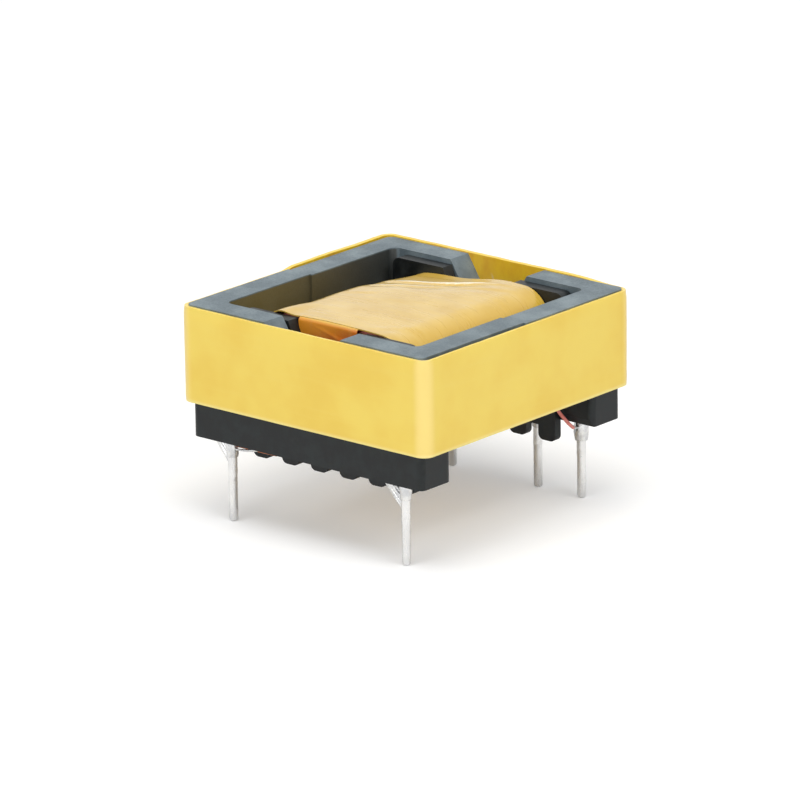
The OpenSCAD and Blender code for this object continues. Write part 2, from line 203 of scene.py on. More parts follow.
def joined(*parts):
    """One list of points and one of faces from several."""
    points, faces = [], []
    for p, f in parts:
        faces += [[len(points) + i for i in face] for face in f]
        points += list(p)
    return points, faces


def fused(name, parts, voxel, relax):
    """Solids flowed into one another, as solder does."""
    piece = bare_object(name, *joined(*parts))
    remesh = piece.modifiers.new("flow", "REMESH")
    remesh.mode = "VOXEL"
    remesh.voxel_size = voxel * MM
    soften = piece.modifiers.new("soften", "SMOOTH")
    soften.iterations = relax
    soften.factor = 0.5
    graph = bpy.context.evaluated_depsgraph_get()
    done = bpy.data.meshes.new_from_object(piece.evaluated_get(graph))
    piece.modifiers.clear()
    piece.data = done
    return piece


# ---------------------------------------------------------------- materials

def linear(r, g, b):
    """A screen colour, 0 to 255, as Blender's linear one."""
    out = []
    for v in (r, g, b):
        v /= 255
        out.append(v / 12.92 if v <= 0.04045 else ((v + 0.055) / 1.055) ** 2.4)
    return (*out, 1.0)


class Shade:
    """A material's node tree, with its coordinates in millimetres."""

    def __init__(self, name, **sockets):
        self.material = bpy.data.materials.new(name)
        self.material.use_nodes = True
        self.tree = self.material.node_tree
        self.tree.nodes.clear()
        out = self.add("ShaderNodeOutputMaterial")
        self.shader = self.add("ShaderNodeBsdfPrincipled")
        self.link(self.shader.outputs[0], out.inputs[0])
        for key, value in sockets.items():
            self.shader.inputs[key.replace("_", " ")].default_value = value
        where = self.add("ShaderNodeTexCoord")
        self.place = self.add("ShaderNodeVectorMath", operation="SCALE")
        self.link(where.outputs["Object"], self.place.inputs[0])
        self.place.inputs["Scale"].default_value = 1 / MM

    def add(self, kind, **props):
        n = self.tree.nodes.new(kind)
        for key, value in props.items():
            setattr(n, key, value)
        return n

    def link(self, a, b):
        self.tree.links.new(a, b)

    def stretched(self, x, y, z):
        n = self.add("ShaderNodeVectorMath", operation="MULTIPLY")
        self.link(self.place.outputs[0], n.inputs[0])
        n.inputs[1].default_value = (x, y, z)
        return n.outputs[0]

    def noise(self, scale, detail=3.0, rough=0.5, stretch=(1, 1, 1), distortion=0.0):
        n = self.add("ShaderNodeTexNoise")
        self.link(self.stretched(*stretch), n.inputs["Vector"])
        n.inputs["Scale"].default_value = scale
        n.inputs["Detail"].default_value = detail
        n.inputs["Roughness"].default_value = rough
        n.inputs["Distortion"].default_value = distortion
        return n.outputs["Fac"]

    def axis(self, name):
        n = self.add("ShaderNodeSeparateXYZ")
        self.link(self.place.outputs[0], n.inputs[0])
        return n.outputs[name]

    def span(self, value, a, b, lo=0.0, hi=1.0):
        """Goes smoothly from lo, where the value is a, to hi, where it is b."""
        n = self.add("ShaderNodeMapRange", interpolation_type="SMOOTHSTEP")
        self.link(value, n.inputs["Value"])
        n.inputs["From Min"].default_value = a
        n.inputs["From Max"].default_value = b
        n.inputs["To Min"].default_value = lo
        n.inputs["To Max"].default_value = hi
        return n.outputs["Result"]

    def math(self, operation, a, b=0):
        n = self.add("ShaderNodeMath", operation=operation)
        for i, v in enumerate((a, b)):
            if isinstance(v, (int, float)):
                n.inputs[i].default_value = v
            else:
                self.link(v, n.inputs[i])
        return n.outputs[0]

    def mix(self, factor, a, b):
        n = self.add("ShaderNodeMix", data_type="RGBA")
        sockets = [n.inputs[0], n.inputs[6], n.inputs[7]]
        for s, v in zip(sockets, (factor, a, b)):
            if isinstance(v, (int, float, tuple)):
                s.default_value = v
            else:
                self.link(v, s)
        return n.outputs[2]

    def colour(self, socket):
        self.link(socket, self.shader.inputs["Base Color"])

    def rough(self, socket):
        self.link(socket, self.shader.inputs["Roughness"])

    def bump(self, height, strength, depth):
        n = self.add("ShaderNodeBump")
        n.inputs["Strength"].default_value = strength
        n.inputs["Distance"].default_value = depth * MM
        self.link(height, n.inputs["Height"])
        self.link(n.outputs[0], self.shader.inputs["Normal"])


def ferrite_material():
    s = Shade("ferrite", Specular_IOR_Level=0.6)
    grain = s.noise(9, 4, 0.65)
    cloud = s.noise(0.45, 4, 0.55)
    base = s.mix(s.span(cloud, 0.35, 0.7), linear(92, 106, 113), linear(122, 136, 142))
    plain = s.mix(s.span(grain, 0.55, 0.8, 0, 0.5), base, linear(50, 56, 62))
    # Painted light: the window's inner walls are painted with the winding's colour, as a reflection, at the
    # front and with painted shade at the back.
    along = s.axis("Y")
    in_width = s.span(s.math("ABSOLUTE", s.axis("X")), leg_in + 0.02, leg_in + 0.06, 1.0, 0.0)
    in_length = s.span(s.math("ABSOLUTE", along), yoke_in - 0.1, yoke_in, 1.0, 0.0)
    under_rim = s.span(s.axis("Z"), core_top - 0.12, core_top - 0.04, 1.0, 0.0)
    wall = s.math("MULTIPLY", s.math("MULTIPLY", in_width, in_length), under_rim)
    front, back = linear(104, 90, 34), linear(34, 32, 24)
    painted_wall_light = s.mix(s.span(along, -6.0, 6.5), front, back)
    s.colour(s.mix(s.math("MULTIPLY", wall, 0.85), plain, painted_wall_light))
    s.rough(s.span(grain, 0.3, 0.7, 0.42, 0.62))
    s.bump(s.math("ADD", grain, s.math("MULTIPLY", cloud, 0.6)), 0.35, 0.02)
    return s.material


def core_tape_material():
    s = Shade("core_tape", Specular_IOR_Level=0.45, Coat_Weight=0.25, Coat_Roughness=0.3)
    streak = s.noise(1.0, 4, 0.6, (0.16, 0.16, 2.6))
    cloud = s.noise(0.22, 3, 0.5)
    warm = s.mix(s.span(cloud, 0.35, 0.68), linear(246, 216, 94), linear(241, 205, 80))
    base = s.mix(s.span(streak, 0.45, 0.8, 0, 0.16), warm, linear(246, 220, 118))
    rim = s.span(s.axis("Z"), tape_lo[2] + 0.05, tape_lo[2] + 0.3, 1.0, 0.0)
    # Painted highlight: a lighter band down the tape's rounded vertical corners.
    outward = s.math("ADD", s.math("ABSOLUTE", s.axis("X")), s.math("ABSOLUTE", s.axis("Y")))
    corner = s.span(outward, 2 * tape_hi[0] - 1.15, 2 * tape_hi[0] - 0.55, 0.0, 0.6)
    lit = s.mix(corner, base, linear(255, 228, 146))
    s.colour(s.mix(s.math("MULTIPLY", rim, 0.55), lit, linear(252, 236, 160)))
    s.rough(s.span(streak, 0.3, 0.7, 0.36, 0.46))
    s.bump(s.math("ADD", s.math("MULTIPLY", streak, 0.2), cloud), 0.12, 0.03)
    return s.material


def tape_inside_material():
    s = Shade("core_tape_inside", Specular_IOR_Level=0.5, Coat_Weight=0.4, Coat_Roughness=0.15)
    cloud = s.noise(0.5, 4, 0.6, (1, 1, 0.5))
    glare = s.noise(0.9, 3, 0.5, (1, 1, 0.4), 1.0)
    base = s.mix(s.span(cloud, 0.35, 0.68), linear(250, 205, 48), linear(236, 178, 40))
    s.colour(s.mix(s.span(glare, 0.62, 0.74, 0, 0.7), base, linear(236, 220, 190)))
    s.rough(s.span(cloud, 0.3, 0.7, 0.25, 0.45))
    s.bump(s.math("ADD", cloud, glare), 0.3, 0.05)
    return s.material


def winding_tape_material():
    s = Shade("winding_tape", Specular_IOR_Level=0.55, Coat_Weight=0.5, Coat_Roughness=0.12)
    streak = s.noise(1.0, 5, 0.6, (0.18, 1.8, 0.4), 0.6)
    cloud = s.noise(0.35, 3, 0.5)
    # Painted light: the top and the sides are painted in different tones for the way the light falls on
    # them, the top paler and the sides a deeper yellow.
    height = s.span(s.axis("Z"), wind_hi[2] - 1.2, wind_hi[2] - 0.1)
    side = s.mix(s.span(cloud, 0.3, 0.7), linear(222, 176, 50), linear(230, 188, 70))
    top = s.mix(s.span(cloud, 0.35, 0.65), linear(226, 190, 94), linear(214, 175, 70))
    base = s.mix(height, side, top)
    # Painted highlights along the tape's streaks.
    streak_highlighted = s.mix(s.span(streak, 0.5, 0.78, 0, 0.25), base, linear(236, 212, 142))
    # Painted highlight on the fold crests, where the crest attribute is high.
    crest = s.add("ShaderNodeAttribute", attribute_name="crest")
    s.colour(s.mix(crest.outputs["Fac"], streak_highlighted, linear(250, 238, 208)))
    s.rough(s.span(streak, 0.3, 0.7, 0.24, 0.38))
    s.bump(s.math("ADD", s.math("MULTIPLY", streak, 0.3), cloud), 0.14, 0.05)
    return s.material


def tail_material():
    s = Shade("tape_tail", Specular_IOR_Level=0.55, Coat_Weight=0.3, Coat_Roughness=0.2)
    cloud = s.noise(0.8, 3, 0.5)
    streak = s.noise(1.2, 4, 0.6, (2.0, 0.4, 0.3))
    height = s.axis("Z")
    # Painted shade: below its top band the hanging part is painted a deeper orange than the tape, for the
    # shade in the notch, and darker still towards the bottom and the right.
    slant = s.math("ADD", s.math("MULTIPLY", s.axis("X"), 0.35), s.math("MULTIPLY", height, -1.0))
    deeper_shade = s.span(slant, -tail_hi[2] + 0.2, -tail_hi[2] + 1.6)
    base = s.mix(deeper_shade, linear(234, 152, 40), linear(214, 110, 34))
    folded = s.mix(s.span(streak, 0.5, 0.75, 0, 0.5), base, linear(224, 160, 74))
    edge = s.span(height, tail_hi[2] - 0.35, tail_hi[2] - 0.1)
    s.colour(s.mix(edge, folded, linear(232, 196, 96)))
    s.rough(s.span(cloud, 0.3, 0.7, 0.28, 0.45))
    s.bump(s.math("ADD", cloud, streak), 0.25, 0.04)
    return s.material


def bobbin_material():
    s = Shade("bobbin", Specular_IOR_Level=0.4)
    blotch = s.noise(0.9, 4, 0.6)
    grain = s.noise(7, 3, 0.6)
    base = s.mix(s.span(blotch, 0.38, 0.7), linear(12, 16, 18), linear(28, 34, 35))
    s.colour(s.mix(s.span(grain, 0.55, 0.8, 0, 0.4), base, linear(9, 11, 13)))
    s.rough(s.span(blotch, 0.3, 0.7, 0.34, 0.55))
    s.bump(s.math("ADD", s.math("MULTIPLY", grain, 0.4), blotch), 0.3, 0.03)
    return s.material


def tin_material(name, dull, bright, cloud_scale):
    s = Shade(name, Metallic=1.0)
    cloud = s.noise(cloud_scale, 3, 0.5)
    streak = s.noise(2.5, 4, 0.6, (1.5, 1.5, 0.25))
    base = s.mix(s.span(cloud, 0.3, 0.7), linear(*dull), linear(*bright))
    s.colour(s.mix(s.span(streak, 0.55, 0.8, 0, 0.35), base, linear(196, 198, 202)))
    s.rough(s.span(streak, 0.3, 0.7, 0.16, 0.34))
    s.bump(cloud, 0.3, 0.04)
    return s.material


def enamel_material():
    s = Shade("copper_wire", Metallic=0.75, Coat_Weight=0.6, Coat_Roughness=0.1)
    cloud = s.noise(0.9, 3, 0.5)
    fine = s.noise(6, 3, 0.5)
    s.colour(s.mix(s.span(cloud, 0.3, 0.7), linear(176, 92, 48), linear(198, 116, 62)))
    s.rough(s.span(fine, 0.3, 0.7, 0.22, 0.4))
    s.bump(fine, 0.15, 0.01)
    return s.material


def insulation_material():
    s = Shade("insulated_wire", Specular_IOR_Level=0.5)
    cloud = s.noise(1.1, 3, 0.5)
    fine = s.noise(7, 3, 0.5)
    s.colour(s.mix(s.span(cloud, 0.3, 0.7), linear(236, 148, 138), linear(226, 122, 112)))
    s.rough(s.span(fine, 0.3, 0.7, 0.3, 0.5))
    s.bump(fine, 0.15, 0.01)
    return s.material


FERRITE = ferrite_material()
CORE_TAPE = core_tape_material()
TAPE_INSIDE = tape_inside_material()
WINDING_TAPE = winding_tape_material()
TAIL = tail_material()
BOBBIN = bobbin_material()
PIN = tin_material("pin_tin", (240, 240, 240), (250, 250, 249), 0.8)
SOLDER = tin_material("solder", (214, 215, 217), (244, 244, 242), 2.2)
ENAMEL = enamel_material()
INSULATION = insulation_material()


# ---------------------------------------------------------------- carried-over solids

WELD_WITHIN = 0.0005
EDGE_ANGLE = 40


def dress(node, material, edge):
    """Keep a node's own mesh, and break its sharp edges by a bevel."""
    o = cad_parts[node]
    o.data.materials.clear()
    o.data.materials.append(material)
    weld = o.modifiers.new("weld", "WELD")
    weld.merge_threshold = WELD_WITHIN * MM
    bevel = o.modifiers.new("edge", "BEVEL")
    bevel.width = edge * MM
    bevel.segments = 2
    bevel.limit_method = "ANGLE"
    bevel.angle_limit = math.radians(EDGE_ANGLE)
    bevel.use_clamp_overlap = True
    bevel.harden_normals = False


dress("core_half_front", FERRITE, 0.05)
dress("core_half_back", FERRITE, 0.05)
dress("bobbin", BOBBIN, 0.04)


# ---------------------------------------------------------------- core tape

def rounded_loop(hx, hy, r, per_side, per_corner):
    """Closed outline, anticlockwise from the front right corner, each point with its outward normal."""
    loop = []
    corners = [(hx - r, -hy + r, -90), (hx - r, hy - r, 0), (-hx + r, hy - r, 90), (-hx + r, -hy + r, 180)]
    for i, (cx, cy, start) in enumerate(corners):
        for j in range(per_corner + 1):
            a = math.radians(start + 90 * j / per_corner)
            loop.append((cx + r * math.cos(a), cy + r * math.sin(a), math.cos(a), math.sin(a)))
        nx, ny, _ = corners[(i + 1) % 4]
        a = math.radians(start + 90)
        ax, ay = cx + r * math.cos(a), cy + r * math.sin(a)
        bx, by = nx + r * math.cos(a), ny + r * math.sin(a)
        for j in range(1, per_side):
            t = j / per_side
            loop.append((ax + (bx - ax) * t, ay + (by - ay) * t, math.cos(a), math.sin(a)))
    return loop


TAPE_SUNK = 0.085
TAPE_PROUD = 0.19
TAPE_CORNER_R = 0.85
TAPE_ROWS = 14
# The tape's section from the top of its outside, over the top edge, down the inside and under the
# bottom edge: how far in, as a share of its thickness, then the place over the top or the bottom edge
TOP_EDGE = ((0.35, 0.012), (0.7, 0.01), (1, -0.03))
BOTTOM_EDGE = ((1, 0.03), (0.7, -0.004), (0.35, -0.006))


def tape_top(x, y):
    """How far the tape's upper edge stands above the core: it is proud at the back and back left."""
    back = smoothstep(8.0, 9.6, y) * smoothstep(9.4, 6.0, x)
    left = smoothstep(-9.2, -9.8, x) * smoothstep(-0.6, 0.8, y)
    proud = max(back, left)
    wave = 0.018 * noise.noise(Vector((x * 0.35, y * 0.35, 3.0))) + 0.01 * noise.noise(Vector((x, y, 7.0)))
    return -TAPE_SUNK + TAPE_PROUD * proud + wave * (1 + proud)


def tape_outside(x, y, top, bottom):
    """Depth and height up the outside, with soft edges and a slight flare at the foot."""
    column = []
    for i in range(TAPE_ROWS + 1):
        t = i / TAPE_ROWS
        z = bottom + (top - bottom) * t
        swell = 0.02 * noise.noise(Vector((x * 0.22, y * 0.22, z * 0.3)))
        edge = 0.05 * (bell(t * 40) + bell((1 - t) * 40))
        flare = 0.03 * bell(t * 18)
        column.append((-0.02 + swell - edge + flare, z))
    return column


def core_tape():
    loop = rounded_loop(tape_hi[0], tape_hi[1], TAPE_CORNER_R, 90, 14)
    points = []
    for x, y, nx, ny in loop:
        top = core_top + tape_top(x, y)
        bottom = tape_lo[2] + 0.012 * noise.noise(Vector((x * 0.4, y * 0.4, 11.0)))
        ring = tape_outside(x, y, top, bottom)
        ring += [(-TAPE_T * share, top + rise) for share, rise in TOP_EDGE]
        ring.append((-TAPE_T, (top + bottom) / 2))
        ring += [(-TAPE_T * share, bottom + rise) for share, rise in BOTTOM_EDGE]
        points += [(x + nx * d, y + ny * d, z) for d, z in ring]
    cols = len(ring)
    faces = grid_faces(len(loop), cols, wrap_rows=True)
    wrap = new_piece("core_tape_wrap", points, faces, CORE_TAPE, "core_tape", ["core_tape"], 60)
    wrap.data.materials.append(TAPE_INSIDE)
    inner = range(TAPE_ROWS + len(TOP_EDGE), cols - len(BOTTOM_EDGE) + 1)
    for polygon in wrap.data.polygons:
        if all(i % cols in inner for i in polygon.vertices):
            polygon.material_index = 1


core_tape()


# ---------------------------------------------------------------- windings

FLAT_STEPS, CORNER_STEPS, SIDE_STEPS = 44, 14, 10


def layer_loop(t, crown):
    """Outline of the pile at height t over the bore, in X and Z about the leg's centre."""
    hx = wind_hi[0] - PILE + t
    hz = (wind_hi[2] - wind_lo[2]) / 2 - CROWN - PILE + t
    r = SHOULDER_R - PILE + t
    flat = hx - r
    loop = []
    for sx, sz, start in ((1, 1, 0), (-1, 1, 90), (-1, -1, 180), (1, -1, 270)):
        for j in range(CORNER_STEPS + 1):
            a = math.radians(start + 90 * j / CORNER_STEPS)
            loop.append((sx * flat + r * math.cos(a), sz * (hz - r) + r * math.sin(a)))
        if sx * sz > 0:
            for j in range(1, FLAT_STEPS):
                u = 1 - 2 * j / FLAT_STEPS
                loop.append((sx * flat * u, sz * (hz + crown * (1 - u * u))))
        else:
            for j in range(1, SIDE_STEPS):
                u = 1 - 2 * j / SIDE_STEPS
                loop.append((sx * hx, sz * (hz - r) * u))
    return loop


def sag(x, y):
    """How far the finished winding lies lower than a full one at a place on its top."""
    hollow = 0.62 * smoothstep(0.5, 7.2, y) * smoothstep(3.6, -1.8, x)
    edge = 0.02 * smoothstep(-4.8, -6.4, y) * smoothstep(4.0, -5.0, x)
    waist = 0.12 * bell((y - 2.2) / 1.3) * smoothstep(-1.5, -4.6, x)
    return hollow + edge + waist


# Each fold's start (x, y), its end (x, y), its height and its half width
FOLDS = (
    (-4.3, 3.2, 1.8, 6.6, 0.10, 0.28),
    (-4.6, 1.2, 0.2, 4.1, 0.07, 0.24),
    (-1.6, 4.9, 3.4, 6.4, 0.07, 0.22),
    (0.8, 3.9, 4.6, 6.3, 0.04, 0.30),
    (-4.9, -1.6, -2.2, 0.4, 0.03, 0.30),
    (2.6, -6.9, 5.2, -3.5, 0.03, 0.35),
)


def folds(x, y):
    """Height of the wrinkles at a place on the winding's top, each a ridge with a hollow beside it."""
    total = 0
    for x0, y0, x1, y1, amp, wide in FOLDS:
        dx, dy = x1 - x0, y1 - y0
        length = math.hypot(dx, dy)
        u = ((x - x0) * dx + (y - y0) * dy) / length / length
        v = ((x - x0) * dy - (y - y0) * dx) / length
        v += 0.18 * math.sin(u * 4.2 + x0)
        along = smoothstep(-0.12, 0.25, u) * smoothstep(1.12, 0.7, u)
        total += amp * along * (bell(v / wide) - 0.55 * bell((v - 1.7 * wide) / wide))
    return total


def shaped(x, z, y, t, wrinkled):
    """A point of the outline at height t, lowered by its share of the sag and lifted by the wrinkles."""
    share = (t - TUBE) / (PILE - TUBE)
    upper = smoothstep(0.6, 2.6, z)
    drop = sag(x, y) * share
    lift = 0
    if wrinkled:
        lift = 0.8 * folds(x, y) + 0.022 * noise.noise(Vector((x * 0.45, y * 0.8, 2.0)))
        lift += 0.008 * noise.noise(Vector((x * 0.5, y * 3.0, 5.0)))
        lift += 0.26 * smoothstep(-3.2, -4.9, x) * smoothstep(-3.5, -6.6, y)
        lift += 0.05 * smoothstep(1.0, 4.5, x) * smoothstep(-5.0, -7.0, y)
    side = 0.02 * noise.noise(Vector((z * 0.6, y * 0.9, 9.0 + t))) if wrinkled else 0
    nx = 1 if x > 0 else -1
    return x + nx * side * (1 - upper), z + upper * (lift - drop)


def sleeve(half, steps, heights, crowns, ridge, wrinkled):
    """A layer between two heights over the bore. ridge(i) moves its outside at step i along the winding."""
    (t_in, t_out), (crown_in, crown_out) = heights, crowns
    outer, inner = layer_loop(t_out, crown_out), layer_loop(t_in, crown_in)
    points = []
    for i in range(steps + 1):
        y = -half + 2 * half * i / steps
        for x, z in outer:
            px, pz = shaped(x, z, y, t_out, wrinkled)
            size = math.hypot(x, z)
            points.append((px + ridge(i) * x / size, y, leg_z + pz + ridge(i) * z / size))
    for i in range(steps + 1):
        y = half - 2 * half * i / steps
        for x, z in inner:
            px, pz = shaped(x, z, y, t_in, wrinkled)
            points.append((px, y, leg_z + pz))
    faces = grid_faces(2 * (steps + 1), len(outer), wrap_rows=True)
    return points, [face[::-1] for face in faces]


# Heights of each layer's inside and outside over the bore
PRIMARY, PRIMARY_WRAP = (0.56, 0.95), (0.95, 1.02)
AUXILIARY, AUXILIARY_WRAP = (1.03, 1.17), (1.18, 1.25)
SECONDARY, OUTER_WRAP = (1.26, 1.50), (1.52, PILE)
SHORT_OF_END = 0.45
TAPE_STEPS, OUTER_STEPS, STEPS_PER_TURN = 24, 110, 6
RIDGE = 0.35
CREST_LO, CREST_HI, CREST_OVER_LEG = 0.03, 0.085, 2.4


def flat(_):
    return 0


def wire_layer(name, node, heights, crowns, turns, look, leads):
    """Turns of wire side by side, a little shorter than the outer wrap, and the winding's leads."""
    steps = turns * STEPS_PER_TURN
    depth = RIDGE * (heights[1] - heights[0])

    def ridge(i):
        return -depth * (1 - abs(math.sin(math.pi * turns * i / steps)))

    turned = sleeve(wind_hi[1] - SHORT_OF_END, steps, heights, crowns, ridge, False)
    new_piece(name, *joined(turned, *leads), *look, [node], 50)


def tape_layer(name, node, heights):
    """Tape between two windings, as short as they are."""
    wrapped = sleeve(wind_hi[1] - SHORT_OF_END, TAPE_STEPS, heights, (0, 0), flat, False)
    new_piece(name, *wrapped, WINDING_TAPE, "winding_tape", [node], 50)


def outer_wrap():
    """The wrinkled tape on top; its crest attribute says where the light catches a fold."""
    wrapped = sleeve(wind_hi[1], OUTER_STEPS, OUTER_WRAP, (CROWN, CROWN), flat, True)
    piece = new_piece("outer_wrap", *wrapped, WINDING_TAPE, "winding_tape", ["outer_winding_tape"], 50)
    crest = piece.data.attributes.new("crest", "FLOAT", "POINT")
    high = []
    for vertex in piece.data.vertices:
        x, y, z = vertex.co / MM
        high.append(smoothstep(CREST_LO, CREST_HI, folds(x, y)) * (z > leg_z + CREST_OVER_LEG))
    crest.data.foreach_set("value", high)


LEAD_R, INSULATED_R, STRAND_R = 0.15, 0.12, 0.09
DROP_Y = 6.55
LEAD_GAP = 0.25
LEAD_TURN = 0.3


def slot_route(drop_x, slot_x, pin_x, top, front=False):
    """A lead's route from under its winding through a slot of the comb and under the rail to its pin."""
    to = Vector((pin_x - slot_x, pin_y - COMB_OUT - LEAD_TURN)).normalized()
    bottom = wind_lo[2]
    route = [
        (drop_x, DROP_Y, top),
        (drop_x, DROP_Y, bottom - 0.1),
        ((drop_x + 2 * slot_x) / 3, DROP_Y, (bottom + SLOT_Z) / 2 - 0.2),
        (slot_x, (COMB_IN + COMB_OUT) / 2, SLOT_Z),
        (slot_x + LEAD_TURN * to[0], COMB_OUT + LEAD_TURN, SLOT_Z + 0.1),
        (pin_x - LEAD_GAP * to[0], pin_y - LEAD_GAP * to[1], RAIL_Z - 0.45),
    ]
    return [(x, -y, z) for x, y, z in route] if front else route


def underside(t):
    """Z of the pile's lower face at height t over the bore."""
    return wind_lo[2] + CROWN + PILE - t


primary_top = underside(PRIMARY[1]) + 0.1
primary_leads = [
    tube(slot_route(-3.4, -SLOT_X, -pin_x, primary_top, True), LEAD_R),
    tube(slot_route(3.4, SLOT_X, pin_x, primary_top, True), LEAD_R),
]
auxiliary_top = underside(AUXILIARY_WRAP[0]) + 0.05
auxiliary_leads = [
    tube(slot_route(-3.6, -SLOT_X, -pin_x, auxiliary_top), LEAD_R),
    tube(slot_route(-1.6, -SLOT_X / 2, -pitch, auxiliary_top), LEAD_R),
]
# The pink end comes out beside the winding, crosses under the core and reaches the back right pin. Its
# insulation stops at the rail, and the bare strand goes on from the last two points.
pink_route = [
    (wind_hi[0] - 0.78, DROP_Y, underside(0) - 0.3),
    (wind_hi[0] + 0.2, DROP_Y, underside(0) - 0.6),
    (pin_x - 0.5, DROP_Y + 0.1, RAIL_Z + 1.7),
    (pin_x - 0.15, COMB_IN - 0.1, RAIL_Z + 0.8),
    (pin_x + 0.5, RAIL_IN - 0.2, RAIL_Z + 0.05),
    (pin_x + 0.55, RAIL_IN + 0.3, RAIL_Z - 0.4),
]
strand_route = [
    *pink_route[-2:],
    (pin_x + 0.35, pin_y - 1.0, RAIL_Z - 0.58),
    (pin_x + 0.12, pin_y - 0.35, RAIL_Z - 0.7),
]
secondary_leads = [
    tube(slot_route(1.6, SLOT_X / 2, pitch, underside(OUTER_WRAP[0]) + 0.1), INSULATED_R),
    tube(pink_route, INSULATED_R),
]

copper, pink = (ENAMEL, "copper_wire"), (INSULATION, "insulated_wire")
wire_layer("primary_turns", "primary_winding", PRIMARY, (0, 0), 34, copper, primary_leads)
tape_layer("primary_wrap", "primary_tape", PRIMARY_WRAP)
wire_layer("auxiliary_turns", "auxiliary_winding", AUXILIARY, (0, 0), 40, copper, auxiliary_leads)
tape_layer("auxiliary_wrap", "auxiliary_tape", AUXILIARY_WRAP)
wire_layer("secondary_turns", "secondary_winding", SECONDARY, (0, CROWN), 36, pink, secondary_leads)
outer_wrap()


# ---------------------------------------------------------------- tape tail

TAIL_T = 0.05
TAIL_FOLD_R = 0.3
TAIL_ACROSS, TAIL_DOWN = 44, 60


def tail_path():
    """Down the tail: for each row Y, Z, the outward normal in Y and Z, and the share of the drop."""
    z_top = wind_hi[2] - 0.03
    y_lap, y_hang = wind_lo[1] + 0.25, tail_lo[1] + 0.04
    flat = y_lap - y_hang - TAIL_FOLD_R
    arc = TAIL_FOLD_R * math.pi / 2
    hang = z_top - TAIL_FOLD_R - tail_lo[2]
    path = []
    for i in range(TAIL_DOWN + 1):
        along = (flat + arc + hang) * i / TAIL_DOWN
        if along < flat:
            path.append((y_lap - along, z_top, 0, 1, 0))
        elif along < flat + arc:
            a = math.pi / 2 * (along - flat) / arc
            y = y_hang + TAIL_FOLD_R - TAIL_FOLD_R * math.sin(a)
            z = z_top - TAIL_FOLD_R + TAIL_FOLD_R * math.cos(a)
            path.append((y, z, -math.sin(a), math.cos(a), 0))
        else:
            drop = along - flat - arc
            path.append((y_hang, z_top - TAIL_FOLD_R - drop, -1, 0, drop / hang))
    return path


def tail_push(x, z, u, f):
    """How far the tail bulges, with a slanting crease, at the share u across and f down."""
    crease = (u - 0.45) * 1.3 - (f - 0.35)
    push = 0.05 * bell(crease / 0.12) * f - 0.05 * smoothstep(-0.1, 0.5, crease) * f
    return push + 0.02 * noise.noise(Vector((x * 0.9, z * 0.9, 3.0)))


def sheet_faces(rows, cols):
    """Faces of a closed sheet, whose upper points come first and its lower points after them."""
    n = rows * cols
    upper = grid_faces(rows, cols, wrap_cols=False)
    lower = [[n + i for i in face[::-1]] for face in upper]
    rim = list(range(cols)) + [i * cols + cols - 1 for i in range(1, rows)]
    rim += [(rows - 1) * cols + j for j in range(cols - 2, -1, -1)]
    rim += [i * cols for i in range(rows - 2, 0, -1)]
    skirt = [[b, a, n + a, n + b] for a, b in zip(rim, rim[1:] + rim[:1])]
    return upper + lower + skirt


def tape_tail():
    """The loose end of the winding tape, creased on the slant where it was pressed into the notch."""
    upper, lower = [], []
    for y, z, ny, nz, f in tail_path():
        left = tail_lo[0] + 0.12 * f + 0.04 * noise.noise(Vector((0, z * 1.3, 1)))
        right = tail_hi[0] - 0.10 * f + 0.04 * noise.noise(Vector((1, z * 1.3, 4)))
        for j in range(TAIL_ACROSS + 1):
            u = j / TAIL_ACROSS
            x = left + (right - left) * u
            push = tail_push(x, z, u, f)
            lift = -CROWN * (x / 4) ** 2 * (1 - f)
            for side, off in ((upper, TAIL_T / 2), (lower, -TAIL_T / 2)):
                side.append((x, y + ny * (off + push), z + nz * (off + push * 0.3) + lift))
    faces = sheet_faces(TAIL_DOWN + 1, TAIL_ACROSS + 1)
    new_piece("tape_tail_fold", upper + lower, faces, TAIL, "tape_tail", ["tape_tail"], 60)


tape_tail()


# ---------------------------------------------------------------- pins and solder

BARE_R = 0.3
POINT_R = 0.04
TIP_H = 0.2
TIP_STEPS = 8
PIN_STEP = 0.12
DIP_Z = -1.15


def pin_profile(foot, top):
    """Radius and Z from the rounded tip up."""
    profile = [(POINT_R, foot)]
    for j in range(1, TIP_STEPS + 1):
        a = math.radians(90 * j / TIP_STEPS)
        profile.append((POINT_R + (BARE_R - POINT_R) * math.sin(a), foot + TIP_H * (1 - math.cos(a))))
    z = foot + TIP_H
    while z < top - 0.15:
        z += PIN_STEP
        profile.append((BARE_R, z))
    profile[-1] = (BARE_R, top)
    return profile


def pin(node, seed):
    """A pin whose tin ends in an uneven line, a little below the board seat."""
    lo, hi = box_mm(node)
    coated_r = (hi[0] - lo[0]) / 2

    def bumps(a, z):
        line = DIP_Z + 0.16 * math.sin(a + seed) + 0.1 * math.sin(2 * a + 2 * seed)
        coat = smoothstep(line - 0.12, line + 0.12, z) * (coated_r - BARE_R)
        lump = 0.012 * bell((z - line - 0.1) / 0.12)
        spot = Vector((math.cos(a) * 0.8, math.sin(a) * 0.8 + seed, z * 0.9))
        return coat + lump + 0.006 * noise.noise(spot) * smoothstep(lo[2], lo[2] + 0.3, z)

    turned = lathe(*axis_of(node), pin_profile(lo[2], hi[2]), 36, bumps)
    new_piece(node + "_tinned", *turned, PIN, "pin", [node], 50)


PLACES = ("front_left", "front_right", "back_1", "back_2", "back_3", "back_4")
for number, place in enumerate(PLACES):
    pin("pin_" + place, 1.7 * number)


COLLAR_CORE_R, COLLAR_R = 0.2, 0.33
COLLAR_STEPS = 12
FAN_STRAND_R = 0.075
FAN_STEPS = 14
FLOW_VOXEL = 0.032


